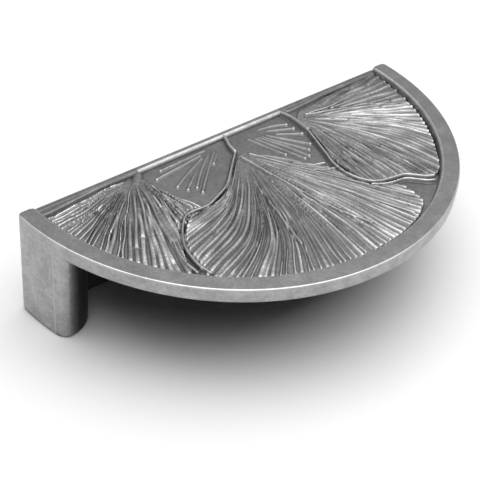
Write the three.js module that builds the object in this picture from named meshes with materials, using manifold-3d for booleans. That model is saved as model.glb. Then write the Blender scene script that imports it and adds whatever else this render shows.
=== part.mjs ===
// A half-moon cabinet pull, cast in one piece of white metal. A half-round plate stands off the drawer
// on a back wall and two round posts, and the fingers reach under the plate from its curved side.
// The plate has a raised rim, and inside it three fan-shaped leaves lie over each other in relief.
// Millimetres. The casting is drawn round the centre of its curved front, which runs towards -y, with
// its mounting face at z = 0, and then placed with the middle of its footprint at the origin.

import * as THREE from "three";
import { mergeVertices } from "three/addons/utils/BufferGeometryUtils.js";
import Module from "manifold-3d";

// Screw holes, one in each post. Their spacing sets the width of the pull, and holeSetback is how far
// they lie in front of the curve's centre.
const holeSpacing = 96;
const endBeyondHole = 3.5;
const holeSetback = 5.4;
const holeRadius = 1.65;
const holeMouthRadius = 2.2;
const holeDepth = 14;

// The plate, its rim, and what carries it. The straight back stands backDepth behind the curve's centre.
const projection = 24.5;
const backDepth = 1;
const edgeThickness = 3.2;
const rimWidth = 4.05;
const reliefDepth = 1.75;
const edgeChamfer = 0.35;
const wallThickness = 4.2;
const cornerRadius = 2;
const postRadius = 7.05;
const footChamfer = 0.6;
const lipWidth = 1.25;
const lipDrop = 0.85;

// Heights of the relief above the panel's ground, and widths across it
const leftLeafLevel = 0.3;
const middleLeafLevel = 0.5;
const rightLeafLevel = 0.7;
const ribHeight = 0.42;
const marginHeight = 1.25;
const marginWidth = 0.7;
const stemHeight = 1.1;
const veinHeight = 0.4;
const veinWidth = 0.6;
const rimGroove = 0.6;

// Fineness of the faceted surfaces
const circleSegments = 128;
const postSegments = 40;
const holeSegments = 20;
const cornerFacets = 4;
const overlap = 0.6;
const forkSpread = 0.09;
const rootLength = 0.3;

// What follows from the dimensions
const holeX = holeSpacing / 2;
const outerRadius = holeX + endBeyondHole;
const panelRadius = outerRadius - rimWidth;
const plateUnderside = projection - edgeThickness;
const wallFront = backDepth - wallThickness;
const ground = projection - reliefDepth;
const leafFloor = ground - overlap;
const spare = 1;

// The leaves are drawn on a half circle of this radius, and scaled to the panel.
const patternRadius = 46.07;
const patternScale = panelRadius / patternRadius;

const wasm = await Module();
wasm.setup();

// A closed three.js geometry as a solid.
function solidOf(geometry) {
  const bare = geometry.clone();
  bare.deleteAttribute("normal");
  bare.deleteAttribute("uv");
  const merged = mergeVertices(bare, 1e-4);
  return new wasm.Manifold(
    new wasm.Mesh({
      numProp: 3,
      vertProperties: merged.attributes.position.array,
      triVerts: new Uint32Array(merged.index.array),
    }),
  );
}

// A solid turned about the vertical axis, from a profile of [radius, height] pairs.
function turned(profile, segments, x = 0, y = 0) {
  const points = profile.map(([radius, height]) => new THREE.Vector2(radius, height));
  const geometry = new THREE.LatheGeometry(points, segments);
  return solidOf(geometry.rotateX(Math.PI / 2).translate(x, y, 0));
}

// A block between two corners.
function block([x0, y0, z0], [x1, y1, z1]) {
  const geometry = new THREE.BoxGeometry(x1 - x0, y1 - y0, z1 - z0);
  return solidOf(geometry.translate((x0 + x1) / 2, (y0 + y1) / 2, (z0 + z1) / 2));
}

// A closed shell with a wavy top over a flat floor. Each row is a list of {x, y, z} from one side to the
// other. Rows may differ in length, so each point also has its share u of the way across.
function shellOf(rows, floor) {
  const positions = [];
  const triangles = [];
  const tops = rows.map((row) => row.map((p) => positions.push(p.x, p.y, p.z) / 3 - 1));
  const floors = rows.map((row) => row.map((p) => positions.push(p.x, p.y, floor) / 3 - 1));
  const strip = (a, b, shareA, shareB, flip) => {
    let i = 0;
    let j = 0;
    while (i < a.length - 1 || j < b.length - 1) {
      const nextA = i < a.length - 1 ? shareA[i + 1].u : Infinity;
      const nextB = j < b.length - 1 ? shareB[j + 1].u : Infinity;
      const triangle = nextA < nextB ? [a[i], b[j], a[++i]] : [a[i], b[j], b[++j]];
      triangles.push(...(flip ? triangle.reverse() : triangle));
    }
  };
  for (let r = 0; r + 1 < rows.length; r++) {
    strip(tops[r], tops[r + 1], rows[r], rows[r + 1], false);
    strip(floors[r], floors[r + 1], rows[r], rows[r + 1], true);
  }
  const wall = (upper, lower, flip) => {
    for (let i = 0; i + 1 < upper.length; i++) {
      const quad = [upper[i], upper[i + 1], lower[i + 1], upper[i], lower[i + 1], lower[i]];
      triangles.push(...(flip ? quad.reverse() : quad));
    }
  };
  wall(tops[0], floors[0], false);
  wall(tops.at(-1), floors.at(-1), true);
  wall(tops.map((t) => t[0]), floors.map((f) => f[0]), true);
  wall(tops.map((t) => t.at(-1)), floors.map((f) => f.at(-1)), false);
  const geometry = new THREE.BufferGeometry();
  geometry.setAttribute("position", new THREE.Float32BufferAttribute(positions, 3));
  geometry.setIndex(triangles);
  return solidOf(geometry);
}

// A smooth curve through pattern points, in millimetres.
function curveThrough(points) {
  return new THREE.SplineCurve(
    points.map(([x, y]) => new THREE.Vector2(x * patternScale, y * patternScale)),
  );
}

// A raised bar that follows a curve on the panel: a leaf's margin, a stem or a single vein.
// Its width and height may change evenly from its first end to its last. Its section is drawn
// for a bar one millimetre wide, as [distance from the middle, height] from the foot to the crown.
function bar(points, widths, heights, steps) {
  const curve = curveThrough(points);
  const rows = [];
  for (let i = 0; i <= steps; i++) {
    const share = i / steps;
    const at = curve.getPointAt(share);
    const along = curve.getTangentAt(share);
    const width = THREE.MathUtils.lerp(widths[0], widths[1], share);
    const top = ground + THREE.MathUtils.lerp(heights[0], heights[1], share);
    const foot = [0.6, ground - overlap / 2];
    const shoulder = [0.45, THREE.MathUtils.lerp(ground, top, 0.6)];
    const crown = [0.15, top];
    const half = [foot, shoulder, crown];
    const section = [...half.map(([out, z]) => [-out, z]), ...half.reverse()];
    rows.push(
      section.map(([across, z], k) => ({
        x: at.x - along.y * across * width,
        y: at.y + along.x * across * width,
        z,
        u: k / (section.length - 1),
      })),
    );
  }
  return shellOf(rows, leafFloor);
}

// The ribs that a fan has at a share s of its length, as the u of each rib's two sides. Every rib
// forks in two at about the shares in forks, a little earlier or later than its neighbours.
function ribsAt(s, firstRibs, forks) {
  const ribs = [];
  const grow = (from, to, level, index) => {
    const forkAt = forks[level] + forkSpread * Math.sin(2.4 * index + 1.7 * level);
    if (level < forks.length && s > forkAt) {
      const middle = (from + to) / 2;
      grow(from, middle, level + 1, 2 * index);
      grow(middle, to, level + 1, 2 * index + 1);
    } else {
      ribs.push([from, to]);
    }
  };
  for (let k = 0; k < firstRibs; k++) grow(k / firstRibs, (k + 1) / firstRibs, 0, k);
  return ribs;
}

// A leaf: ribs and furrows that spread from its stem along guide curves, from its first side to its last.
// It is low at the stem and has its full height from rootLength of its length outwards.
function fan({ guides, firstRibs, forks, rows, level }) {
  const curves = guides.map(curveThrough);
  const lattice = [];
  for (let r = 0; r <= rows; r++) {
    const s = r / rows;
    const across = new THREE.SplineCurve(curves.map((curve) => curve.getPointAt(s)));
    const grown = THREE.MathUtils.smoothstep(s, 0, rootLength);
    const furrow = ground + level * THREE.MathUtils.lerp(0.4, 1, grown);
    const crest = furrow + ribHeight * THREE.MathUtils.lerp(0.25, 1, grown);
    const points = [];
    const add = (u, z) => {
      const at = across.getPoint(u);
      points.push({ x: at.x, y: at.y, z, u });
    };
    for (const [from, to] of ribsAt(s, firstRibs, forks)) {
      add(from, furrow);
      add((from + to) / 2, crest);
    }
    add(1, furrow);
    lattice.push(points);
  }
  return shellOf(lattice, leafFloor);
}

// The point where a ray from the pattern's centre, at an angle in degrees, meets the leaves' outer edge.
function atRim(degrees) {
  const radius = patternRadius - rimGroove / patternScale;
  const angle = THREE.MathUtils.degToRad(degrees);
  return [radius * Math.cos(angle), radius * Math.sin(angle)];
}

// Left leaf: its stem meets the straight edge, and the middle leaf covers its right corner.
function leftLeaf() {
  return fan({
    guides: [
      [[-25.5, 1.3], [-31, 1.5], [-38, 1.6], atRim(177.8)],
      [[-25.4, -0.6], [-31, -2.2], [-38, -4.6], atRim(190)],
      [[-25, -1.7], [-29.5, -6], [-35, -11.4], atRim(203)],
      [[-24.5, -2], [-28, -8.5], [-32.5, -16.5], atRim(213)],
      [[-24, -2.1], [-26.5, -9.5], [-30, -19], atRim(222.5)],
      [[-23.6, -2.1], [-25.2, -8], [-27.5, -15], [-29.6, -23.5]],
      [[-23.2, -2], [-23.6, -7], [-24.5, -12], [-25.8, -18.6]],
      [[-22.8, -1.6], [-22.2, -6.5], [-21, -11], [-18.8, -15.8]],
    ],
    firstRibs: 10,
    forks: [0.28, 0.6],
    rows: 7,
    level: leftLeafLevel,
  });
}

// Middle leaf: the largest, over the left leaf and under the right one.
const middleMargin = [
  [-2.2, -6.6], [-5, -8.8], [-8, -11.4], [-12, -14.5], [-16, -16.2], [-20, -16.7], [-23.5, -17.4],
  [-27, -20.4], [-29.6, -24], [-30.8, -28.5], [-31.1, -32.6],
];

function middleLeaf() {
  return fan({
    guides: [
      [[-2.6, -7.2], [-8, -11.8], [-14, -16.2], [-22.5, -17.4]],
      [[-2.4, -7.6], [-9, -13.8], [-16, -19], [-27.8, -22]],
      [[-2.1, -7.9], [-9, -15.6], [-17, -22.4], [-30.3, -28]],
      [[-1.8, -8.1], [-8, -18], [-17, -28], atRim(229)],
      [[-1.5, -8.2], [-6, -19.5], [-12.5, -32], atRim(243)],
      [[-1.2, -8.2], [-3, -20], [-6, -33], atRim(257)],
      [[-0.9, -8.1], [0.3, -20], [1.5, -33], atRim(272)],
      [[-0.6, -7.9], [3.6, -19], [8, -31], atRim(285)],
      [[-0.4, -7.6], [5.2, -17.5], [11.5, -28.5], [18.2, -40.8]],
      [[-0.2, -7.2], [6, -15.5], [12.2, -26], [18.9, -37.8]],
      [[0, -6.8], [5, -12.5], [9.8, -18.8], [13.6, -26], [19.2, -34.4]],
    ],
    firstRibs: 16,
    forks: [0.25, 0.52],
    rows: 9,
    level: middleLeafLevel,
  });
}

// Right leaf: over the middle one, and reaching the straight edge's far end.
const rightMargin = [
  [16.6, -8], [15.2, -12], [13.6, -17], [12.6, -22], [12.6, -26], [13.9, -29.3], [16.5, -31],
  [20, -31.5], [22.6, -32.5], [25, -34.7], [27.6, -36.2],
];

function rightLeaf() {
  return fan({
    guides: [
      [[17.6, -4], [16.6, -10], [14.2, -18], [13.4, -27.8]],
      [[18.2, -4.4], [18.2, -12], [17.4, -20], [17.6, -31]],
      [[18.7, -4.6], [20.4, -12], [21.4, -21], [22.2, -32]],
      [[19.2, -4.7], [22.6, -12], [26, -21.5], atRim(308.5)],
      [[19.6, -4.6], [26, -12.5], [32.5, -20.5], atRim(319)],
      [[19.9, -4.3], [28, -9.8], [36, -16], atRim(334)],
      [[20, -3.8], [28, -6.4], [36, -9.2], atRim(344)],
      [[20, -3], [28, -3], [37, -3.4], atRim(353.5)],
      [[19.8, -1.4], [27, 1.2], [36, 1.6], atRim(2.2)],
    ],
    firstRibs: 12,
    forks: [0.27, 0.58],
    rows: 8,
    level: rightLeafLevel,
  });
}

// The leaves' stems, from the straight edge
const leftStem = [[-22, 1.2], [-23, -1], [-24.4, -2.4]];
const middleStem = [[0.5, 1.2], [-0.3, -1.5], [-1.2, -3.5], [-1.8, -6.2]];
const rightStem = [[16, 1.2], [16.9, -2.5], [17, -5], [16.6, -8.4]];

// Single veins on the two low grounds between the leaves.
const singleVeins = [
  [[-6.3, -1.6], [-18.5, -2.3]],
  [[-8.2, -2.6], [-14, -3.1], [-20.7, -4]],
  [[-8.8, -3.4], [-13.5, -5.5], [-18.9, -8.4]],
  [[-12.8, -6.5], [-17.8, -10.3]],
  [[-6.5, -3.1], [-11.5, -6.8], [-16, -10.7]],
  [[-5, -3.2], [-10, -7.3], [-15.8, -12.5]],
  [[-4.8, -4.1], [-7.8, -6.3]],
  [[8.6, -2], [14.6, -3.6]],
  [[9.5, -3.6], [14.8, -6.2]],
  [[9.8, -5], [15, -8.7]],
  [[8.4, -4.6], [13.6, -12.2]],
  [[7.2, -4.4], [12, -13.8]],
  [[6.4, -4.2], [8.8, -9.5], [10.5, -15.2]],
  [[5.6, -4.2], [7.2, -9.5], [9, -15.4]],
  [[4.2, -3.8], [5.3, -7.5], [6.6, -12.3]],
];

// The three leaves with their margins, stems and the single veins.
function relief() {
  const margins = [middleMargin, rightMargin].map((line) =>
    bar(line, [marginWidth, marginWidth], [marginHeight * 0.7, marginHeight], 2 * line.length),
  );
  const stems = [
    bar(middleStem, [0.7, 1.3], [stemHeight * 0.8, stemHeight], 7),
    bar(rightStem, [1.3, 1], [stemHeight, stemHeight * 1.2], 7),
    bar(leftStem, [1.2, 1.6], [stemHeight, stemHeight * 0.8], 4),
  ];
  const veins = singleVeins.map((line) =>
    bar(line, [veinWidth, veinWidth], [veinHeight * 0.6, veinHeight], line.length),
  );
  return [leftLeaf(), middleLeaf(), rightLeaf(), ...margins, ...stems, ...veins];
}

// A quarter round that fills an inside corner, as [outward, upward] steps from its lower end.
function cornerSteps() {
  const steps = [];
  for (let i = 0; i <= cornerFacets; i++) {
    const angle = (Math.PI / 2) * (i / cornerFacets);
    steps.push([cornerRadius * (1 - Math.cos(angle)), cornerRadius * Math.sin(angle)]);
  }
  return steps;
}

// What carries the plate: the wall along the straight edge and the two posts, which flare into the plate.
function supports() {
  const reach = outerRadius + spare;
  const cornerFoot = plateUnderside - cornerRadius;
  const section = new THREE.Shape();
  section.moveTo(backDepth + spare, -spare);
  section.lineTo(wallFront, -spare);
  for (const [out, up] of cornerSteps()) section.lineTo(wallFront - out, cornerFoot + up);
  section.lineTo(wallFront - cornerRadius, projection);
  section.lineTo(backDepth + spare, projection);
  section.closePath();
  // The section is drawn in x and y, and its wall runs along z: it is turned to run along x and stand up.
  const wall = new THREE.ExtrudeGeometry(section, { depth: 2 * reach, bevelEnabled: false });
  wall.rotateX(Math.PI / 2).rotateZ(Math.PI / 2).translate(-reach, 0, 0);
  const flare = cornerSteps().map(([out, up]) => [postRadius + out, cornerFoot + up]);
  const brim = postRadius + cornerRadius;
  const profile = [[0, -spare], [postRadius, -spare], ...flare, [brim, projection], [0, projection]];
  let solid = solidOf(wall);
  for (const x of [-holeX, holeX]) solid = solid.add(turned(profile, postSegments, x, -holeSetback));
  return solid;
}

// The space for the fingers, which runs from the mounting face up to the plate's underside.
function fingerSpace() {
  const reach = outerRadius + spare;
  const behind = backDepth + spare;
  return block([-reach, -reach, -spare], [reach, behind, plateUnderside]).subtract(supports());
}

// The sunk panel inside the rim. A low lip stays along the straight edge.
function panelSpace() {
  const top = projection + spare;
  const brim = panelRadius + edgeChamfer;
  const profile = [
    [0, ground],
    [panelRadius, ground],
    [panelRadius, projection - edgeChamfer],
    [brim, projection],
    [brim, top],
    [0, top],
  ];
  const behind = backDepth + panelRadius;
  const lip = block([-outerRadius, backDepth - lipWidth, 0], [outerRadius, behind, projection - lipDrop]);
  return turned(profile, circleSegments).subtract(lip);
}

// A blind screw hole with a countersunk mouth and a drill point, opening on the mounting face.
function screwHole(x) {
  const profile = [
    [0, -spare],
    [holeMouthRadius, -spare],
    [holeMouthRadius, 0],
    [holeRadius, holeMouthRadius - holeRadius],
    [holeRadius, holeDepth],
    [0, holeDepth + holeRadius / 2],
  ];
  return turned(profile, holeSegments, x, -holeSetback);
}

// The disc that the casting is one half of, with its chamfered edges.
function disc() {
  const profile = [
    [0, 0],
    [outerRadius - footChamfer, 0],
    [outerRadius, footChamfer],
    [outerRadius, projection - edgeChamfer],
    [outerRadius - edgeChamfer, projection],
    [0, projection],
  ];
  return turned(profile, circleSegments);
}

// The casting: half a disc with its finger space and panel cut out, the relief raised, and the holes drilled.
function pull() {
  const reach = outerRadius + spare;
  const behind = block([-reach, backDepth, -spare], [reach, reach, projection + spare]);
  let casting = disc().subtract(behind).subtract(fingerSpace()).subtract(panelSpace());
  for (const piece of relief()) casting = casting.add(piece);
  casting = casting.subtract(behind);
  for (const x of [-holeX, holeX]) casting = casting.subtract(screwHole(x));
  return casting;
}

// A solid as a three.js geometry.
function geometryOf(solid) {
  const mesh = solid.getMesh();
  const geometry = new THREE.BufferGeometry();
  geometry.setAttribute("position", new THREE.BufferAttribute(mesh.vertProperties, 3));
  geometry.setIndex(new THREE.BufferAttribute(mesh.triVerts, 1));
  geometry.computeVertexNormals();
  return geometry;
}

const pewter = new THREE.MeshStandardMaterial({ color: 0x8a8a8a, roughness: 0.42, metalness: 1 });
const body = new THREE.Mesh(geometryOf(pull()), pewter);
body.name = "pull";
body.position.y = (outerRadius - backDepth) / 2;

const part = new THREE.Group();
part.add(body);
export default part;
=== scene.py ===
"""A half-moon cabinet pull, cast in one piece of white metal and finished in antique pewter.

Blender 4.5. The casting is modelled in millimetres round the centre of its curved front, which runs
towards -y, with its mounting face at z = 0. It is then scaled to metres and moved to the CAD model's frame.
"""

import math
import random

import bmesh
import bpy
import numpy as np
from mathutils import Matrix, Vector


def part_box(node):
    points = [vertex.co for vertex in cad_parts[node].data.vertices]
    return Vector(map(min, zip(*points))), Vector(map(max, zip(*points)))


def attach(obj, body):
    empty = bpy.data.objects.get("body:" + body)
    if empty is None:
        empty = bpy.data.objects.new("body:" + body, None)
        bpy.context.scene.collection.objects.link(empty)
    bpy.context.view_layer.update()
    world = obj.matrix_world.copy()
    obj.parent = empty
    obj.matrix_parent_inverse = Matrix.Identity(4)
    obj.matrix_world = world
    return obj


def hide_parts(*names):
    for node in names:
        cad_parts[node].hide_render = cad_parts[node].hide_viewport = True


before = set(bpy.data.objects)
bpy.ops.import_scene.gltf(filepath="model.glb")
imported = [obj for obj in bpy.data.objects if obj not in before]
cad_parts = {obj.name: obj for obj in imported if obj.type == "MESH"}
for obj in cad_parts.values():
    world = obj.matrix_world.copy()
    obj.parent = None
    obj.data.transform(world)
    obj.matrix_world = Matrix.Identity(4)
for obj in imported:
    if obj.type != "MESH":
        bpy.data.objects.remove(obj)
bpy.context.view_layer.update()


# The blank: half a disc of white metal as it leaves the mould, with every outer edge rounded over.
# Its radius, height and depth are the CAD node's own. Its straight back stands a little behind the centre
# of the curve, and the corners between the two are round.
MM = 0.001
low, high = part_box("pull")
outer_radius = (high.x - low.x) / 2 / MM
back_depth = (high.y - low.y) / MM - outer_radius
projection = high.z / MM
arc_steps = 320
end_corner_radius = 1.2
top_edge_radius = 0.4
foot_edge_radius = 0.8


def piece_from(bm, name):
    """A closed object from a bmesh, with its seams merged, its faces outwards and its large faces split."""
    bmesh.ops.remove_doubles(bm, verts=bm.verts, dist=1e-4)
    bmesh.ops.triangulate(bm, faces=[face for face in bm.faces if len(face.verts) > 4])
    bmesh.ops.recalc_face_normals(bm, faces=bm.faces)
    if bm.calc_volume(signed=True) < 0:
        bmesh.ops.reverse_faces(bm, faces=bm.faces)
    mesh = bpy.data.meshes.new(name)
    bm.to_mesh(mesh)
    bm.free()
    piece = bpy.data.objects.new(name, mesh)
    bpy.context.scene.collection.objects.link(piece)
    return piece


def round_over(bm, edges, radius, segments):
    bmesh.ops.bevel(
        bm, geom=edges, offset=radius, segments=segments, profile=0.5, affect="EDGES", material=-1
    )


def arc(centre, radius, start, turn, steps=8):
    """Points on an arc that begins at the angle start and runs through the angle turn, in degrees."""
    angles = [math.radians(start + turn * step / steps) for step in range(steps + 1)]
    return [(centre[0] + radius * math.cos(a), centre[1] + radius * math.sin(a)) for a in angles]


def half_disc():
    corner_y = back_depth - end_corner_radius
    corner_x = math.sqrt((outer_radius - end_corner_radius) ** 2 - corner_y**2)
    tilt = math.degrees(math.atan2(corner_y, corner_x))
    outline = arc((corner_x, corner_y), end_corner_radius, tilt, 90 - tilt)
    outline += arc((-corner_x, corner_y), end_corner_radius, 90, 90 - tilt)
    outline += arc((0, 0), outer_radius, 180 - tilt, 180 + 2 * tilt, arc_steps // 2)
    bm = bmesh.new()
    bm.faces.new([bm.verts.new((x, y, 0)) for x, y in outline])
    bmesh.ops.remove_doubles(bm, verts=bm.verts, dist=1e-4)
    raised = bmesh.ops.extrude_face_region(bm, geom=bm.faces[:])
    top = [item for item in raised["geom"] if isinstance(item, bmesh.types.BMVert)]
    bmesh.ops.translate(bm, verts=top, vec=(0, 0, projection))
    bmesh.ops.recalc_face_normals(bm, faces=bm.faces)
    for height, radius in ((projection, top_edge_radius), (0, foot_edge_radius)):
        loop = [edge for edge in bm.edges if all(abs(v.co.z - height) < 1e-4 for v in edge.verts)]
        round_over(bm, loop, radius, 8)
    return piece_from(bm, "pull_casting")


casting = half_disc()


# The finger space: what the mould's core keeps free under the plate, round the wall and the two posts.
# Each post follows the curved side up to a faint crease and stands back from it in front of the crease.
# Wall and posts flare where they run into the plate, and every lower edge is eased.
edge_thickness = 3.2
wall_thickness = 4.2
hole_spacing = 96
hole_setback = 5.4
post_radius = 7.05
post_side_radius = 2
post_crease_angle = 11.1
post_facet_angle = 10
wall_flare = 2
post_flare = 0.45
spare = 2
underside = projection - edge_thickness


def turned(name, profile, steps, x=0, y=0):
    """A closed solid of revolution, from a profile of (radius, height) that ends on the axis."""
    bm = bmesh.new()
    points = [bm.verts.new((radius, 0, height)) for radius, height in profile]
    edges = [bm.edges.new(pair) for pair in zip(points, points[1:])]
    bmesh.ops.spin(
        bm,
        geom=points + edges,
        cent=(0, 0, 0),
        axis=(0, 0, 1),
        angle=2 * math.pi,
        steps=steps,
        use_merge=True,
    )
    bmesh.ops.translate(bm, verts=bm.verts, vec=(x, y, 0))
    return piece_from(bm, name)


def drawn_out(name, outline, run):
    """A straight bar: a flat closed outline, drawn out along a vector."""
    bm = bmesh.new()
    face = bm.faces.new([bm.verts.new(point) for point in outline])
    raised = bmesh.ops.extrude_face_region(bm, geom=[face])
    moved = [item for item in raised["geom"] if isinstance(item, bmesh.types.BMVert)]
    bmesh.ops.translate(bm, verts=moved, vec=run)
    return piece_from(bm, name)


def along_back(name, section):
    """A bar along the straight back, past both ends of it, from a closed section of (y, z)."""
    start = -outer_radius - spare
    return drawn_out(name, [(start, y, z) for y, z in section], (-2 * start, 0, 0))


def combine(piece, other, operation):
    """Joins another solid to the piece, or cuts it away, and uses the other solid up."""
    step = piece.modifiers.new(operation.lower(), "BOOLEAN")
    step.operation = operation
    step.solver = "MANIFOLD"
    step.object = other
    evaluated = piece.evaluated_get(bpy.context.evaluated_depsgraph_get())
    mesh = bpy.data.meshes.new_from_object(evaluated)
    piece.modifiers.clear()
    piece.data = mesh
    bpy.data.objects.remove(other)


def wall():
    ease = foot_edge_radius
    front = back_depth - wall_thickness
    behind = back_depth + spare
    section = [(behind, -spare), (front + ease, -spare)]
    section += arc((front + ease, ease), ease, 270, -90)
    section += arc((front - wall_flare, underside - wall_flare), wall_flare, 0, 90)
    section += [(front - wall_flare, projection), (behind, projection)]
    return along_back("wall", section)


def column(radius, x, y):
    """A round column up to the plate, with an eased foot and a flare under the plate."""
    ease = foot_edge_radius
    profile = [(0, -spare), (radius - ease, -spare)]
    profile += arc((radius - ease, ease), ease, 270, 90)
    profile += arc((radius + post_flare, underside - post_flare), post_flare, 180, -90)
    profile += [(radius + post_flare, projection), (0, projection)]
    return turned("column", profile, 96, x, y)


def post(x):
    """A round post, cut back in front of the crease to a flat face that ends in a tighter round.

    The tighter round stands a hair proud and the strip overruns a hair, so that the cuts cross the faces
    that they would otherwise only touch.
    """
    proud = 0.03
    overrun = 0.02
    side = math.copysign(1, x)
    crease_turn = math.radians(post_crease_angle)
    crease = outer_radius * Vector((side * math.cos(crease_turn), -math.sin(crease_turn)))
    facet_turn = math.radians(post_crease_angle + post_facet_angle)
    outward = Vector((side * math.cos(facet_turn), -math.sin(facet_turn)))
    forward = Vector((-side * math.sin(facet_turn), -math.cos(facet_turn)))
    middle = Vector((x, -hole_setback))
    from_middle = post_radius - post_side_radius + proud
    out = (crease - middle).dot(outward) - post_side_radius
    round_centre = middle + out * outward + math.sqrt(from_middle**2 - out**2) * forward
    to_post = (round_centre - middle).normalized()
    reach = 8 * post_side_radius
    facet_end = crease + ((round_centre - crease).dot(forward) + overrun) * forward
    strip_outline = [crease, facet_end, facet_end + reach * outward, crease + reach * outward]
    corner_outline = [
        round_centre,
        round_centre + reach * outward,
        round_centre + reach * (outward + to_post),
        round_centre + reach * to_post,
    ]
    rise = (0, 0, projection + 4 * spare)
    corner = drawn_out("corner", [(p.x, p.y, -2 * spare) for p in corner_outline], rise)
    combine(corner, column(post_side_radius, *round_centre), "DIFFERENCE")
    round_post = column(post_radius, *middle)
    strip = drawn_out("strip", [(p.x, p.y, -2 * spare) for p in strip_outline], rise)
    combine(round_post, strip, "DIFFERENCE")
    combine(round_post, corner, "DIFFERENCE")
    return round_post


def finger_space():
    reach = outer_radius + spare
    lower_edge = (outer_radius - top_edge_radius, underside + top_edge_radius)
    profile = [(0, -spare), (reach, -spare), (reach, underside + top_edge_radius)]
    profile += arc(lower_edge, top_edge_radius, 0, -90)
    profile += [(0, underside)]
    space = turned("finger_space", profile, arc_steps)
    supports = wall()
    for x in (-hole_spacing / 2, hole_spacing / 2):
        combine(supports, post(x), "UNION")
    combine(space, supports, "DIFFERENCE")
    return space


combine(casting, finger_space(), "DIFFERENCE")


# The panel: the sunk field inside the raised rim. A low lip closes it along the straight back, with a
# rounded front, and the rim's two ends are rounded off above the lip.
rim_width = 4.05
relief_depth = 1.75
rim_edge_radius = 0.6
rim_draft = 0.35
lip_width = 0.75
lip_round = 0.85
lip_drop = 0.85
rim_end_radius = 1.1
panel_radius = outer_radius - rim_width
ground = projection - relief_depth
lip_top = projection - lip_drop


def panel_space():
    brim = panel_radius + rim_edge_radius
    profile = [(0, ground), (panel_radius - rim_draft, ground)]
    profile += arc((brim, projection - rim_edge_radius), rim_edge_radius, 180, -90)
    profile += [(brim, projection + spare), (0, projection + spare)]
    return turned("panel_space", profile, arc_steps)


def lip():
    behind = back_depth + spare
    edge = back_depth - lip_width
    section = [(behind, ground - 1), (edge - lip_round, ground - 1)]
    section += arc((edge, lip_top - lip_round), lip_round, 180, -90)
    section += [(behind, lip_top)]
    return along_back("lip", section)


def rim_end(side):
    """What is cut from the inner corner of the rim's end, on the side -1 or 1, to round it off."""
    inner = math.sqrt(panel_radius**2 - back_depth**2)
    x = side * (inner + rim_end_radius)
    y = back_depth - rim_end_radius
    outline = [(x, y), (side * (inner - 1), y), (side * (inner - 1), y + 3 * spare), (x, y + 3 * spare)]
    notch = drawn_out("notch", [(*point, lip_top) for point in outline], (0, 0, 2 * spare))
    ease = rim_edge_radius
    profile = [(0, lip_top - spare), (rim_end_radius, lip_top - spare)]
    profile += arc((rim_end_radius - ease, projection - ease), ease, 0, 90)
    profile += [(0, projection)]
    combine(notch, turned("rounding", profile, 48, x, y), "DIFFERENCE")
    return notch


panel = panel_space()
combine(panel, lip(), "DIFFERENCE")
combine(casting, panel, "DIFFERENCE")
for side in (-1, 1):
    combine(casting, rim_end(side), "DIFFERENCE")


# The relief: three fan-shaped leaves that lie over each other, with their stems and a few single veins. It
# is worked out as heights above the panel's ground on a fine grid, first the leaves and then all that lies
# on them. A second grid keeps how brightly each rib is rubbed and painted with a highlight.
pattern_radius = 46.07
pattern_scale = panel_radius / pattern_radius
grain = 0.13
back_setback = 0.05
slab_reach = panel_radius + 0.4
slab_thickness = 0.6
bare_height = 0.05
groove_floor = 0.03
groove_width = 0.22
sand_depth = 0.035
thin_cover = (0.17, 0.25)
broad_cover = (0.33, 0.44)
thin_lift = (0.85, 1.15)
broad_lift = (0.7, 0.95)
thin_flatness = 2
broad_flatness = 3.2
cord_flatness = 2.4
narrowest_rib = 0.16
widest_rib = 0.62
guide_points = 41
rib_reach = 0.75
rib_swing = 0.11
rib_wave = 0.1
nick_depth = 0.55
glint_strength = 0.09
columns = 2 * math.ceil(slab_reach / grain)
rows = math.ceil((slab_reach + back_depth) / grain)
xs = (np.arange(columns + 1) - columns / 2) * grain
ys = back_depth - back_setback - np.arange(rows + 1) * grain
across, down = np.meshgrid(xs, ys)
height = np.full(across.shape, bare_height)
wear_and_highlight = np.zeros(across.shape)
chance = random.Random(11)


def softened(values, radius):
    """The mean of a square window round each grid point."""
    size = 2 * radius + 1
    padded = np.pad(values, radius + 1, mode="edge")[: -1, : -1]
    total = padded.cumsum(axis=0).cumsum(axis=1)
    below = total[size:, size:] - total[:-size, size:]
    return (below - total[size:, :-size] + total[:-size, :-size]) / size**2


# The marks of the casting sand on the leaves.
sand_marks = sand_depth * softened(np.random.default_rng(7).normal(size=across.shape), 1)


def cubic(a, b, c, d, t):
    """The Catmull-Rom curve from b to c."""
    return 0.5 * (2 * b + (c - a) * t + (2 * a - 5 * b + 4 * c - d) * t**2 + (3 * b - a - 3 * c + d) * t**3)


def smooth_line(points, count):
    """A smooth line through pattern points, as evenly spaced points in millimetres."""
    knots = np.array(points, float) * pattern_scale
    knots = np.vstack([2 * knots[0] - knots[1], knots, 2 * knots[-1] - knots[-2]])
    steps = np.linspace(0, 1, 16, endpoint=False)[:, None]
    spans = [cubic(a, b, c, d, steps) for a, b, c, d in zip(knots, knots[1:], knots[2:], knots[3:])]
    line = np.vstack(spans + [knots[-2:-1]])
    length = np.concatenate([[0], np.cumsum(np.hypot(*np.diff(line, axis=0).T))])
    even = np.linspace(0, length[-1], count)
    return np.column_stack([np.interp(even, length, line[:, axis]) for axis in (0, 1)])


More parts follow.
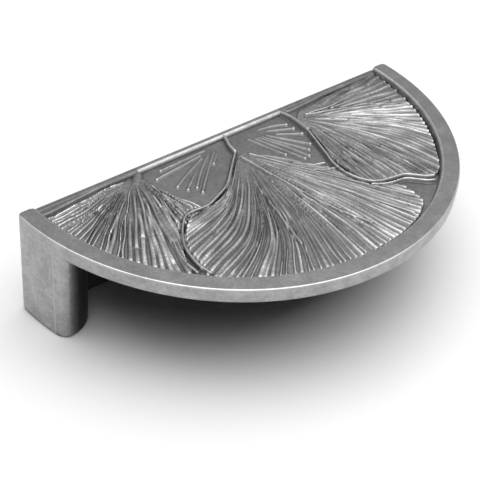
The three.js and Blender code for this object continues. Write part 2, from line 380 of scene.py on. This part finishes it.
def near(line, reach):
    """For each grid point, its distance from a line, and how far along the line it is nearest, 0 to 1."""
    distance = np.full(across.shape, np.inf)
    share = np.zeros(across.shape)
    for step, (a, b) in enumerate(zip(line, line[1:])):
        left, right = sorted((a[0], b[0]))
        front, back = sorted((a[1], b[1]))
        first_column = max(int((left - reach - xs[0]) / grain), 0)
        last_column = max(int((right + reach - xs[0]) / grain) + 2, 0)
        first_row = max(int((ys[0] - back - reach) / grain), 0)
        last_row = max(int((ys[0] - front + reach) / grain) + 2, 0)
        window = (slice(first_row, last_row), slice(first_column, last_column))
        x = across[window] - a[0]
        y = down[window] - a[1]
        run = b - a
        t = np.clip((x * run[0] + y * run[1]) / max(run @ run, 1e-9), 0, 1)
        away = np.hypot(x - t * run[0], y - t * run[1])
        closer = away < distance[window]
        distance[window] = np.where(closer, away, distance[window])
        share[window] = np.where(closer, (step + t) / (len(line) - 1), share[window])
    return distance, share


def ridge(distance, half_width, flatness):
    """The section of a ridge, 1 on its crest and 0 at its foot. The flatter, the broader its top."""
    return np.clip(1 - (distance / half_width) ** flatness, 0, 1)


def inside(outline):
    """Which grid points lie inside a closed outline."""
    odd = np.zeros(across.shape, bool)
    for (x0, y0), (x1, y1) in zip(outline, np.roll(outline, -1, axis=0)):
        if y0 == y1:
            continue
        crosses = (y0 > down) != (y1 > down)
        odd ^= crosses & (across < x0 + (down - y0) * (x1 - x0) / (y1 - y0))
    return odd


def at_rim(degrees, gap=0.55):
    """The pattern point on a ray from the arc's centre, a small gap short of the rim."""
    angle = math.radians(degrees)
    radius = pattern_radius - gap
    return (radius * math.cos(angle), radius * math.sin(angle))


def between(lines, u):
    """The line a share u of the way from a fan's first guide to its last."""
    place = min(max(u, 0), 1) * (len(lines) - 1)
    index = min(int(place), len(lines) - 2)
    a = lines[max(index - 1, 0)]
    d = lines[min(index + 2, len(lines) - 1)]
    return cubic(a, lines[index], lines[index + 1], d, place - index)


def leaf(guides, pitch, level, rib_height, fullness, root, polish_and_highlight, broad, tips=0.14):
    """Lays a leaf over what is there: a low fan with ribs that run between its guides to its outer edge.

    The lists give one value for each guide: pitch is how far apart the ribs end, rib_height how high they
    stand, the polish list how brightly they are rubbed and painted with a highlight where they face the
    light, and broad what share of them are broad and flat, where the rest are thin threads. Level is the
    height of the furrows, which the leaf reaches at the distance root from its stem. Fullness widens all
    ribs, and tips says how much higher they stand at their outer ends and how much brighter they are painted
    there, as a highlight.
    """
    lines = np.array([smooth_line(guide, guide_points) for guide in guides])
    fine = np.linspace(0, 1, 241)
    rim = np.array([between(lines, u)[-1] for u in fine])
    outline = np.vstack([lines[0], rim, lines[-1][::-1]])
    base = lines[:, 0].mean(axis=0)
    grown = np.clip(np.hypot(across - base[0], down - base[1]) / root, 0, 1)
    surface = level * (0.45 + 0.55 * grown) + sand_marks
    raised = np.zeros(across.shape)
    rib_wear_and_highlight = np.zeros(across.shape)
    shares = np.linspace(0, 1, guide_points)
    guide_places = np.linspace(0, 1, len(guides))
    local_pitch = np.interp(fine[1:], guide_places, pitch)
    pitches = np.concatenate([[0], np.cumsum(np.hypot(*np.diff(rim, axis=0).T) / local_pitch)])
    ribs = int(pitches[-1])
    for number in range(ribs):
        here = (number + 0.5 + chance.uniform(-0.2, 0.2)) / ribs * pitches[-1]
        u, before, after = np.interp([here, here - 0.5, here + 0.5], pitches, fine)
        # Every second rib begins far from the stem, and every fourth and eighth nearer to it.
        order = number & -number
        start = {1: 0.4, 2: 0.22, 4: 0.1}.get(order, 0.04) + chance.uniform(-0.1, 0.12)
        start = max(start, 0.03)
        end = 1 - chance.uniform(0, 0.012)
        spacing = np.hypot(*(between(lines, after) - between(lines, before)).T)
        # Near the stem fewer ribs have begun, so each has more room.
        room = np.interp(shares, [0.1, 0.22, 0.26, 0.45], [3, 1.8, 1.6, 1])
        is_broad = chance.random() < np.interp(u, guide_places, broad)
        cover = chance.uniform(*(broad_cover if is_broad else thin_cover))
        half_width = np.clip(fullness * cover * spacing * room, narrowest_rib, widest_rib)
        middle = between(lines, u)
        run = np.gradient(middle, axis=0)
        sideways = np.column_stack([-run[:, 1], run[:, 0]]) / np.hypot(*run.T)[:, None]
        swing = rib_swing * np.sin(shares * chance.uniform(9, 18) + chance.uniform(0, 6))
        swing = swing * np.clip(3 * shares, 0, 1)
        middle = middle + swing[:, None] * sideways
        picked = np.linspace(start, end, 30)
        line = np.column_stack([np.interp(picked, shares, middle[:, axis]) for axis in (0, 1)])
        distance, share = near(line, rib_reach)
        place = start + share * (end - start)
        taper = np.clip((place - start) / 0.1, 0.3, 1)
        nick = 1 - nick_depth * np.exp(-(((place - chance.uniform(0.2, 1.6)) / 0.02) ** 2))
        wave = 1 + rib_wave * np.sin(share * chance.uniform(8, 20) + chance.uniform(0, 6))
        low_or_high = chance.uniform(*(broad_lift if is_broad else thin_lift))
        flatness = broad_flatness if is_broad else thin_flatness
        section = ridge(distance, np.interp(place, shares, half_width), flatness)
        lift = np.interp(u, guide_places, rib_height) * taper * wave * nick * low_or_high * section
        tip = np.clip((place - end + 0.035) / 0.02, 0, 1)
        lift = lift * (1 + 0.7 * tips * tip)
        outer_end = np.clip((place - end + 0.2) / 0.2, 0, 1)
        # Painted highlight: each rib's brightness carries its polish, a painted glint that comes and goes
        # along it, and a painted highlight at its outer end.
        glint = glint_strength * np.sin(place * chance.uniform(12, 30) + chance.uniform(0, 6))
        brightness = np.interp(u, guide_places, polish_and_highlight) + chance.uniform(-0.2, 0.14) + glint
        brightness = brightness * np.interp(place, [0.15, 0.5], [0.4, 1]) + tips * outer_end**2
        rib_wear_and_highlight = np.where(lift > raised, brightness * np.clip(2 * section, 0, 1), rib_wear_and_highlight)
        raised = np.maximum(raised, lift)
    where = inside(outline)
    height[where] = (surface + raised)[where]
    wear_and_highlight[where] = rib_wear_and_highlight[where] + 0.08


def cord(points, half_width, rise, groove=0.22, ends=(1, 1), polish_and_highlight=0.15):
    """Lays a rounded cord on what is there, with a groove cut along each side of it."""
    line = smooth_line(points, 8 * len(points))
    distance, share = near(line, half_width + 0.8)
    beside = groove * np.exp(-(((distance - half_width - 0.1) / groove_width) ** 2))
    lowered = np.where(distance > half_width * 0.8, beside, 0)
    height[:] = np.maximum(height - lowered, np.minimum(height, groove_floor))
    crest = rise * np.interp(share, [0, 1], ends) * ridge(distance, half_width, cord_flatness)
    # The crest is painted with the cord's polish and painted highlight, and the grooves beside it lose
    # theirs.
    wear_and_highlight[:] = np.where(crest > height, polish_and_highlight, wear_and_highlight * (1 - np.clip(2.5 * lowered, 0, 1)))
    height[:] = np.maximum(height, crest)


# Left leaf. It fans from its stem on the straight edge, and the middle leaf covers its right corner.
left_guides = [
    [(-25.5, -0.8), (-32, -1), (-38, -1.6), at_rim(182.6)],
    [(-25.4, -1), (-31, -3), (-38, -5.2), at_rim(188.2)],
    [(-25.2, -1.3), (-31, -4.8), (-37, -8.6), at_rim(196.5)],
    [(-25, -1.7), (-29.5, -6), (-35, -12), at_rim(205)],
    [(-24.5, -2), (-28, -8.5), (-32.5, -16.5), at_rim(214)],
    [(-24, -2.1), (-26.5, -9.5), (-30, -19), at_rim(222.5)],
    [(-23.6, -2.1), (-25.2, -8), (-27.5, -15), (-30.5, -25)],
    [(-23.2, -2), (-23.6, -7), (-24.5, -12), (-26, -19.5)],
    [(-22.8, -1.6), (-22.2, -6.5), (-21, -11), (-18.5, -16.3)],
]
leaf(
    left_guides,
    pitch=[1.05, 1.1, 1.15, 1.35, 1.7, 1.8, 1.6, 1.3, 1.3],
    level=0.25,
    rib_height=[0.46, 0.5, 0.52, 0.52, 0.52, 0.52, 0.52, 0.54, 0.56],
    fullness=1.25,
    root=9,
    polish_and_highlight=[0.2, 0.22, 0.2, 0.2, 0.18, 0.17, 0.16, 0.17, 0.18],
    broad=[0.2, 0.2, 0.3, 0.6, 1, 1, 0.9, 0.6, 0.5],
)

# Middle leaf, the largest, over the left leaf and under the right one.
middle_guides = [
    [(-2.6, -7.2), (-8, -11.8), (-14, -16.2), (-22.5, -17.2)],
    [(-2.4, -7.6), (-9, -13.8), (-16, -19), (-28, -22)],
    [(-2.1, -7.9), (-9, -16.2), (-18, -23.6), (-30.5, -28.5)],
    [(-1.8, -8.1), (-8, -18.5), (-17.5, -28.5), at_rim(228)],
    [(-1.5, -8.2), (-6, -19.5), (-12.5, -32), at_rim(243)],
    [(-1.2, -8.2), (-3, -20), (-6, -33), at_rim(257)],
    [(-0.9, -8.1), (0.3, -20), (1.5, -33), at_rim(272)],
    [(-0.6, -7.9), (3.6, -19), (8, -31), at_rim(285)],
    [(-0.4, -7.6), (5.2, -17.5), (11.5, -28.5), (18, -41)],
    [(-0.2, -7.2), (6, -15.5), (12.2, -26), (19, -38)],
    [(0, -6.8), (5, -12.5), (9.8, -18.8), (13.6, -26), (19.3, -34.2)],
]
leaf(
    middle_guides,
    pitch=[1.5, 1.5, 1.5, 1.45, 1.4, 1.35, 1.35, 1.35, 1.4, 1.4, 1.4],
    level=0.42,
    rib_height=[0.48, 0.48, 0.46, 0.42, 0.4, 0.38, 0.36, 0.36, 0.36, 0.38, 0.4],
    fullness=1,
    root=12,
    polish_and_highlight=[0.12, 0.12, 0.08, 0.04, 0.08, 0.14, 0.19, 0.18, 0.07, 0.02, 0.05],
    broad=[0.6, 0.8, 1, 0.9, 0.6, 0.4, 0.3, 0.3, 0.3, 0.5, 0.6],
    tips=0.22,
)

# Right leaf, over the middle one. It reaches the far end of the straight edge.
right_guides = [
    [(17.6, -4), (16.6, -10), (14.2, -18), (13.2, -28)],
    [(18.2, -4.4), (18.2, -12), (17.4, -20), (17.2, -31)],
    [(18.7, -4.6), (20.4, -12), (21.4, -21), (22.3, -32)],
    [(19.2, -4.7), (22.6, -12), (26, -21.5), at_rim(308.5)],
    [(19.6, -4.6), (26, -12.5), (32.5, -20.5), at_rim(321)],
    [(19.9, -4.3), (28, -9.8), (36, -16), at_rim(334)],
    [(20, -4.1), (28, -7.4), (36, -9.8), at_rim(345)],
    [(20.1, -3.8), (27, -5.2), (35, -5.9), at_rim(351.5)],
    [(20.1, -3), (27, -3.4), (34, -2.9), (39, -2.9), at_rim(357.5)],
    [(20, -2), (26, -1.6), (33, -0.8), (38.5, -0.6), at_rim(1.5)],
]
leaf(
    right_guides,
    pitch=[1.35, 1.35, 1.35, 1.35, 1.4, 1.6, 1.8, 2, 2.2, 2.2],
    level=0.55,
    rib_height=[0.38, 0.38, 0.38, 0.38, 0.4, 0.42, 0.42, 0.42, 0.42, 0.4],
    fullness=1.1,
    root=12,
    # Painted highlight: the right leaf's middle guides are painted brighter, where their ribs face the
    # light.
    polish_and_highlight=[-0.04, -0.04, -0.04, 0, 0.14, 0.25, 0.15, 0.05, -0.05, -0.14],
    broad=[0.4, 0.4, 0.4, 0.5, 0.8, 1, 1, 1, 1, 1],
    tips=-0.12,
)

# The ribs that stand out on the leaves.
bold_ribs = [
    [(4.7, -39.2), (1.5, -29.5), (-1.7, -8)],
    [(14, -42), (7.5, -27.5), (1, -13)],
    [(18.5, -38.5), (9, -23), (0.5, -8)],
    [(-11, -36), (-7.5, -24), (-5.2, -16)],
    [(11, -19.6), (8.5, -18.4), (6, -15.5)],
    [(12.4, -22.2), (9, -21), (6, -18)],
    [(20.5, -4), (25, -5.5), (35, -8.5), (44, -9.9)],
    [(21.5, -4), (29, -4.6), (33.5, -3.8), (38, -3.9)],
    [(27, -5.2), (36, -5.8), (44.5, -6)],
    [(35.5, -9), (43, -13.5)],
    [(27, -11), (34, -15.6), (40, -20)],
    [(19.3, -11), (19.5, -24.5)],
    [(17, -19), (15.8, -28)],
    [(22.3, -19), (22, -31)],
    [(25.5, -22), (27.5, -33)],
]
for rib in bold_ribs:
    cord(rib, half_width=0.32, rise=1.02, groove=0.1, ends=(0.9, 0.62), polish_and_highlight=0.12)

# The outer leaves run into a plain band along the straight edge, almost level with the lip. Its front edge
# is given as places across the panel and where it lies there.
band_height = 0.82
band_shine = -0.06
band_slope = 0.7
left_band_end = -23.4
right_band_end = 17.3
band_places = [-45, -38, -32, -25, 20, 27, 34, 40, 44]
band_fronts = [-2, -1.3, -0.8, -0.7, -1.6, -1.2, -0.4, -0.3, 1]
band_edge = np.interp(across, band_places, band_fronts)
share = np.clip((down - band_edge) / band_slope, 0, 1)
share = np.where((across < left_band_end) | (across > right_band_end), share**2 * (3 - 2 * share), 0)
height += share * (band_height - height)
wear_and_highlight += share * (band_shine - wear_and_highlight)

# Single veins, each with a small knob at its outer end.
single_veins = [
    [(-6.3, -1.4), (-12, -1.7), (-18.3, -2.1)],
    [(-8.2, -2.3), (-14, -3.1), (-20.7, -4)],
    [(-8.5, -3.3), (-13.5, -5.6), (-18.8, -8.3)],
    [(-12.8, -6.6), (-17.7, -10.2)],
    [(-6.5, -3), (-11, -6.4), (-15.8, -10.7)],
    [(-5, -3), (-10, -7.3), (-15.8, -12.5)],
    [(-4.8, -3.8), (-7.8, -6.3)],
    [(8.5, -2), (12, -2.8), (14.5, -4)],
    [(9.5, -3.4), (14.8, -6)],
    [(10.5, -5.4), (15, -8.5)],
    [(8.4, -4.6), (11.2, -8.6), (13.8, -12.3)],
    [(7.2, -4.4), (9.4, -8.6), (12.1, -13.7)],
    [(6.4, -4.2), (8.8, -9.5), (10.6, -15.4)],
    [(5.6, -4.2), (7.4, -9.8), (9.2, -15.6)],
    [(4.2, -3.5), (5.4, -7.6), (6.7, -12.3)],
]
for vein in single_veins:
    bold = vein[0][0] < 0
    cord(vein, 0.4 if bold else 0.3, rise=0.45, groove=0, ends=(0.5, 0.95), polish_and_highlight=0.1 if bold else 0.03)
    knob = [vein[-1], (vein[-1][0] + 0.1, vein[-1][1] - 0.1)]
    cord(knob, half_width=0.4, rise=0.5, groove=0, polish_and_highlight=0.2)

# The cord along each overlapping margin, and the stems.
middle_margin = [
    (-2, -6.3), (-5, -8.9), (-8, -11.6), (-11, -14), (-14, -15.4), (-18, -16.8), (-22, -16.6), (-24, -17.2),
    (-26, -19), (-28, -21.5), (-29.5, -24), (-30.4, -27), (-30.8, -30), (-30.4, -32.7),
]
right_margin = [
    (16.7, -8), (15.9, -10.5), (14.8, -13.8), (13.6, -17.4), (12.5, -20.5), (12.1, -24), (12.7, -27),
    (14.2, -29.5), (16, -30.8), (18, -31.3), (20, -31.7), (22, -32.2), (23.5, -33.5), (25, -35), (26.8, -36),
]
beside_middle_margin = [(-30.4, -21.8), (-31.6, -25), (-32.2, -28), (-32.2, -31)]
beside_right_margin = [
    (14, -30.4), (16, -31.8), (18, -32.5), (20, -32.8), (21.5, -33.3), (23, -34.7), (24.5, -36.2), (26, -37),
]
left_stem = [(-22.6, -0.2), (-23.4, -1.2), (-24.6, -2.4)]
middle_stem = [(0.5, 1.4), (-0.3, -1.5), (-1.2, -3.5), (-1.8, -6)]
right_stem = [(16, 1.4), (16.9, -2), (17, -4), (16.7, -8.4)]
cord(beside_middle_margin, half_width=0.3, rise=0.9)
cord(beside_right_margin, half_width=0.3, rise=0.95, polish_and_highlight=0.25)
cord(middle_margin, half_width=0.42, rise=1.1, ends=(0.75, 1), polish_and_highlight=0.06)
cord(right_margin, half_width=0.32, rise=1.12, groove=0.25, polish_and_highlight=0.1)
cord(left_stem, half_width=1.3, rise=0.6, groove=0, ends=(1, 0.6), polish_and_highlight=-0.05)
cord(middle_stem, half_width=0.55, rise=1.15, ends=(0.7, 1))
cord(right_stem, half_width=0.7, rise=1.15, groove=0.25, ends=(0.78, 1), polish_and_highlight=0.05)


# The antique finish is darkest in the furrows and rubbed off the crests. How exposed each spot is comes
# from its height above the mean of its surroundings and from how its rib is rubbed, with the ribs' painted
# highlights added in.
even_exposure = 0.38
crest_gain = 1.1
furrow_gain = 0.6
relative = height - softened(softened(height, 3), 3)
gain = np.where(relative > 0, crest_gain, furrow_gain)
exposure_and_highlight = np.clip(even_exposure + gain * relative + softened(wear_and_highlight, 1), 0, 1)


# The relief is kept in three meshes, left, middle and right, so that each stays fine. Each is a slab of
# metal let into the plate, and all three meet without a gap.
slab_edge = 15.6


def relief_slab(name, left, right):
    first = round((left - xs[0]) / grain)
    last = round((right - xs[0]) / grain)
    bm = bmesh.new()
    bmesh.ops.create_grid(bm, x_segments=last - first, y_segments=rows, size=0.5)
    bmesh.ops.scale(bm, verts=bm.verts, vec=((last - first) * grain, rows * grain, 1))
    middle = ((xs[first] + xs[last]) / 2, (ys[0] + ys[-1]) / 2, ground)
    bmesh.ops.translate(bm, verts=bm.verts, vec=middle)
    outside = [face for face in bm.faces if face.calc_center_median().xy.length > slab_reach]
    bmesh.ops.delete(bm, geom=outside, context="FACES")
    for vertex in bm.verts:
        column = round((vertex.co.x - xs[0]) / grain)
        row = round((ys[0] - vertex.co.y) / grain)
        vertex.co.z = ground + height[row, column]
    border = [edge for edge in bm.edges if edge.is_boundary]
    skirt = bmesh.ops.extrude_edge_only(bm, edges=border)["geom"]
    lower = {item for item in skirt if isinstance(item, bmesh.types.BMVert)}
    skirt_edges = [item for item in skirt if isinstance(item, bmesh.types.BMEdge)]
    for vertex in lower:
        vertex.co.z = ground - slab_thickness
    closing = [edge for edge in skirt_edges if lower.issuperset(edge.verts)]
    bmesh.ops.contextual_create(bm, geom=closing)
    return piece_from(bm, name)


slabs = [
    relief_slab("relief_left", xs[0], -slab_edge),
    relief_slab("relief_middle", -slab_edge, slab_edge),
    relief_slab("relief_right", slab_edge, xs[-1]),
]


# The screw holes: blind, one up the middle of each post, with a countersunk mouth and an M4 thread.
hole_radius = 1.65
hole_mouth_radius = 2.2
hole_depth = 14
thread_pitch = 0.7
thread_radius = 2
thread_overlap = 0.15
tooth_share = 0.38
turn_steps = 24


def threaded_hole(x):
    core_profile = [
        (0, -spare),
        (hole_mouth_radius, -spare),
        (hole_mouth_radius, 0),
        (hole_radius, hole_mouth_radius - hole_radius),
        (hole_radius, hole_depth),
        (0, hole_depth + hole_radius / 2),
    ]
    hole = turned("screw_hole", core_profile, turn_steps, x, -hole_setback)
    bm = bmesh.new()
    buried = hole_radius - thread_overlap
    half = tooth_share * thread_pitch
    corners = [(buried, -half), (thread_radius, 0), (buried, half)]
    tooth = bm.faces.new([bm.verts.new((radius, 0, rise)) for radius, rise in corners])
    turns = int((hole_depth - 2 * thread_pitch) / thread_pitch)
    bmesh.ops.spin(
        bm,
        geom=[tooth],
        cent=(0, 0, 0),
        axis=(0, 0, 1),
        dvec=(0, 0, thread_pitch / turn_steps),
        angle=2 * math.pi * turns,
        steps=turns * turn_steps,
    )
    bmesh.ops.holes_fill(bm, edges=bm.edges)
    bmesh.ops.translate(bm, verts=bm.verts, vec=(x, -hole_setback, thread_pitch))
    combine(hole, piece_from(bm, "thread"), "UNION")
    return hole


for x in (-hole_spacing / 2, hole_spacing / 2):
    combine(casting, threaded_hole(x), "DIFFERENCE")


# How bright each spot of the metal is, the more the brighter, and which faces were dressed on a belt. The
# brightness mixes wear with painted shade and painted highlights. Both are kept on the meshes as attributes.
# Level and upright cuts give the casting's large faces vertices where its tone changes.
def keep(piece, name, values):
    """Keeps one value for each vertex of the piece, under a name that its material reads."""
    piece.data.attributes.new(name, "FLOAT", "POINT").data.foreach_set("value", values.astype(np.float32))


def places_on(piece):
    """The x, y and z of every vertex of the piece."""
    places = np.empty(3 * len(piece.data.vertices), np.float32)
    piece.data.vertices.foreach_get("co", places)
    return places.reshape(-1, 3).T


for slab in slabs:
    x, y, z = places_on(slab)
    column = np.clip(np.rint((x - xs[0]) / grain).astype(int), 0, columns)
    row = np.clip(np.rint((ys[0] - y) / grain).astype(int), 0, rows)
    keep(slab, "wear_and_painted_light", exposure_and_highlight[row, column])
    keep(slab, "dressed", 0 * x)

bm = bmesh.new()
bm.from_mesh(casting.data)
beside_stems = (-23.3, -23, 16.5, 16.8)
crease_y = -outer_radius * math.sin(math.radians(post_crease_angle))
cuts = [((x, 0, 0), (1, 0, 0)) for x in beside_stems]
cuts.append(((0, back_depth - 0.15, 0), (0, 1, 0)))
cuts += [((0, 0, z), (0, 0, 1)) for z in (foot_edge_radius + 0.1, lip_top - 0.15)]
cuts += [((0, y, 0), (0, 1, 0)) for y in (crease_y - 0.3, crease_y + 0.2)]
for point, direction in cuts:
    everything = bm.verts[:] + bm.edges[:] + bm.faces[:]
    bmesh.ops.bisect_plane(bm, geom=everything, dist=1e-4, plane_co=point, plane_no=direction)
bm.to_mesh(casting.data)
bm.free()
x, y, z = places_on(casting)
from_centre = np.hypot(x, y)
outside_face = (from_centre > outer_radius - 0.3) | (y > back_depth - 0.3)
top_line = (z > projection - top_edge_radius + 0.01) & (z < projection - 0.01) & outside_face
on_panel = z > ground - 0.02
on_lip = (y > back_depth - lip_width - lip_round - 0.02) & (y < back_depth - 0.1)
on_lip &= (from_centre < panel_radius) & on_panel
between_stems = (x > -23.1) & (x < 16.6)
on_front = on_lip & (z < lip_top - 0.001) & between_stems
on_wall = (from_centre < panel_radius + rim_edge_radius - 0.05) & on_panel & ~on_lip
under_plate = (z < underside + 0.1) & ~outside_face
from_post = np.hypot(abs(x) - hole_spacing / 2, y + hole_setback)
on_post = under_plate & (from_post < post_radius + 0.3) & (abs(x) > 44)
wear_and_painted_light = np.full(len(x), 0.49)
# The dressed outer sides are painted lighter than the rim's top, partly for the belt dressing and partly as
# painted light from how the light falls on them.
wear_and_painted_light[outside_face & (z < projection - 0.01)] = 0.9
# Partly edge wear, partly painted highlight: the rounded outer top edge is painted brightest.
wear_and_painted_light[top_line] = 1
# Painted reflection: the rim's inner wall is painted light, as if it caught the light.
wear_and_painted_light[on_wall] = 0.75
wear_and_painted_light[on_lip] = np.where(between_stems, 0.49, 0.36)[on_lip]
# Painted highlight: the lip's rounded front is painted bright, where it catches the light.
wear_and_painted_light[on_front] = 0.82
# Painted shade: everything under the plate is painted dark, where shade falls.
wear_and_painted_light[under_plate] = 0.12
# Painted shade: each post is painted darker towards the inside, where it turns away from the light under the
# plate.
wear_and_painted_light[on_post] = np.interp(from_centre, [47.6, 50.3], [0, 0.88])[on_post]
# Painted shade: the lowest rounded edge of the outer faces is painted darker, next to the table.
wear_and_painted_light[outside_face & (z < foot_edge_radius - 0.05)] = 0.6
# Painted highlight: a thin bright line along each post's crease.
wear_and_painted_light[outside_face & (z < underside) & (abs(y - crease_y) < 0.1)] = 1.3
keep(casting, "wear_and_painted_light", wear_and_painted_light)
keep(casting, "dressed", np.where(outside_face & (z < projection - 0.01), 1, 0))


# Antique pewter: a satin grey metal. It is dark in the furrows and brighter where hands and polishing
# wheels reach, and its outer faces keep the fine level scratches of the belt they were dressed on. Its tone
# also carries the painted shade and painted highlights kept in the attribute that it reads.
class Nodes:
    """Adds nodes to a tree and links them by socket name."""

    def __init__(self, tree):
        self.tree = tree

    def add(self, kind, values=None, **settings):
        node = self.tree.nodes.new(kind)
        for name, value in settings.items():
            setattr(node, name, value)
        for socket, value in (values or {}).items():
            if isinstance(value, bpy.types.NodeSocket):
                self.tree.links.new(value, node.inputs[socket])
            else:
                node.inputs[socket].default_value = value
        return node

    def sum(self, value, factor, other):
        """The socket value x factor + other."""
        values = {0: value, 1: factor, 2: other}
        return self.add("ShaderNodeMath", values, operation="MULTIPLY_ADD").outputs[0]


def antique_pewter():
    material = bpy.data.materials.new("antique_pewter")
    material.use_nodes = True
    nodes = Nodes(material.node_tree)
    shader = material.node_tree.nodes["Principled BSDF"]
    place = nodes.add("ShaderNodeTexCoord").outputs["Object"]
    wear_and_light_here = nodes.add("ShaderNodeAttribute", attribute_name="wear_and_painted_light").outputs["Fac"]
    dressed_here = nodes.add("ShaderNodeAttribute", attribute_name="dressed").outputs["Fac"]
    cloud = nodes.add("ShaderNodeTexNoise", {"Vector": place, "Scale": 240, "Detail": 6, "Roughness": 0.65})
    speck = nodes.add("ShaderNodeTexNoise", {"Vector": place, "Scale": 1500, "Detail": 2})
    level = nodes.add("ShaderNodeMapping", {"Vector": place, "Scale": (160, 160, 5200)})
    streak = nodes.add("ShaderNodeTexNoise", {"Vector": level.outputs[0], "Scale": 1, "Detail": 4})
    streaks = nodes.add("ShaderNodeMath", {0: streak.outputs["Fac"], 1: 0.5}, operation="SUBTRACT")
    streaks = nodes.add("ShaderNodeMath", {0: streaks.outputs[0], 1: dressed_here}, operation="MULTIPLY")
    tone = nodes.sum(cloud.outputs["Fac"], 0.42, wear_and_light_here)
    tone = nodes.sum(speck.outputs["Fac"], 0.26, tone)
    tone = nodes.sum(streaks.outputs[0], 0.16, tone)
    tone = nodes.add("ShaderNodeMath", {0: tone, 1: 0.34}, operation="SUBTRACT").outputs[0]
    ramp = nodes.add("ShaderNodeValToRGB", {"Fac": tone})
    steps = [(0.04, 0.035), (0.3, 0.09), (0.5, 0.14), (0.66, 0.2), (0.85, 0.31), (1, 0.43)]
    for place_on_ramp, _ in steps[2:]:
        ramp.color_ramp.elements.new(place_on_ramp)
    for element, (place_on_ramp, grey) in zip(ramp.color_ramp.elements, steps):
        element.position = place_on_ramp
        element.color = (grey, grey, grey, 1)
    rough = nodes.add("ShaderNodeMapRange", {"Value": tone, "To Min": 0.55, "To Max": 0.34})
    grains = nodes.sum(speck.outputs["Fac"], 0.8, 0)
    grains = nodes.sum(streaks.outputs[0], 1, grains)
    bump = nodes.add("ShaderNodeBump", {"Height": grains, "Strength": 0.2, "Distance": 0.0001})
    nodes.tree.links.new(ramp.outputs["Color"], shader.inputs["Base Color"])
    nodes.tree.links.new(rough.outputs[0], shader.inputs["Roughness"])
    nodes.tree.links.new(bump.outputs[0], shader.inputs["Normal"])
    shader.inputs["Metallic"].default_value = 1
    return material


pewter = antique_pewter()


# The finished pull in the frame of the CAD model, in metres, with smooth faces and creases only at real
# edges.
casting_crease = 16
slab_crease = 75
placed = Matrix.Translation((0, (outer_radius - back_depth) / 2 * MM, 0)) @ Matrix.Scale(MM, 4)
for piece, crease in [(casting, casting_crease)] + [(slab, slab_crease) for slab in slabs]:
    piece.data.transform(placed)
    piece.data.shade_smooth()
    piece.data.set_sharp_from_angle(angle=math.radians(crease))
    piece.data.materials.clear()
    piece.data.materials.append(pewter)
    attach(piece, "root")
weighted = casting.modifiers.new("weighted_normals", "WEIGHTED_NORMAL")
weighted.keep_sharp = True
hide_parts("pull")


# The studio: a plain white table under one wide softbox, straight above, in a white room that lights the
# pull only a little.
def plain_material(name, colour):
    material = bpy.data.materials.new(name)
    material.use_nodes = True
    shader = material.node_tree.nodes["Principled BSDF"]
    shader.inputs["Base Color"].default_value = (*colour, 1)
    shader.inputs["Roughness"].default_value = 0.9
    return material


def table_top():
    bm = bmesh.new()
    bmesh.ops.create_grid(bm, x_segments=1, y_segments=1, size=3)
    table = piece_from(bm, "table_top")
    table.data.materials.append(plain_material("white_table", (0.93, 0.93, 0.93)))
    return table


table_top()


def softbox(name, place, aim, size, power):
    light = bpy.data.lights.new(name, "AREA")
    light.shape = "RECTANGLE"
    light.size, light.size_y = size
    light.energy = power
    lamp = bpy.data.objects.new(name, light)
    turn = (Vector(aim) - Vector(place)).to_track_quat("-Z", "Y").to_matrix().to_4x4()
    lamp.matrix_world = Matrix.Translation(place) @ turn
    bpy.context.scene.collection.objects.link(lamp)


softbox("overhead", place=(0.12, -0.1, 0.9), aim=(0.12, -0.1, 0), size=(1.4, 1.4), power=16.3)


def white_room():
    """White to the camera, to shiny metal and through glass, and dim as a light on the object."""
    world = bpy.data.worlds.new("white_room")
    world.use_nodes = True
    nodes = Nodes(world.node_tree)
    path = nodes.add("ShaderNodeLightPath").outputs
    seen = nodes.add("ShaderNodeMath", {0: path["Is Camera Ray"], 1: path["Is Glossy Ray"]}, operation="ADD")
    seen = nodes.add("ShaderNodeMath", {0: seen.outputs[0], 1: path["Is Transmission Ray"]}, operation="ADD")
    strength = nodes.add("ShaderNodeMapRange", {"Value": seen.outputs[0], "To Min": 0.01, "To Max": 1})
    background = world.node_tree.nodes["Background"]
    background.inputs["Color"].default_value = (1, 1, 1, 1)
    nodes.tree.links.new(strength.outputs[0], background.inputs["Strength"])
    return world


bpy.context.scene.world = white_room()
bpy.context.scene.view_settings.view_transform = "Standard"


# The camera stands where the photograph was taken from, above the pull's left front.
camera_target = Vector((-18.0, -1.6, 20.6)) * MM
camera_distance = 224.7 * MM
camera_azimuth = math.radians(-134.5)
camera_elevation = math.radians(39.1)
camera_roll = math.radians(5.82)
camera_lens = 85.4


def photo_camera():
    camera = bpy.data.objects.new("camera", bpy.data.cameras.new("camera"))
    camera.data.lens = camera_lens
    camera.data.sensor_width = 36
    camera.data.sensor_fit = "HORIZONTAL"
    camera.data.clip_start = 0.01
    level = math.cos(camera_elevation)
    back = Vector(
        (level * math.cos(camera_azimuth), level * math.sin(camera_azimuth), math.sin(camera_elevation))
    )
    right = Vector((0, 0, 1)).cross(back).normalized()
    turn = Matrix((right, back.cross(right), back)).transposed().to_4x4()
    roll = Matrix.Rotation(camera_roll, 4, "Z")
    camera.matrix_world = Matrix.Translation(camera_target + camera_distance * back) @ turn @ roll
    bpy.context.scene.collection.objects.link(camera)
    return camera


bpy.context.scene.camera = photo_camera()
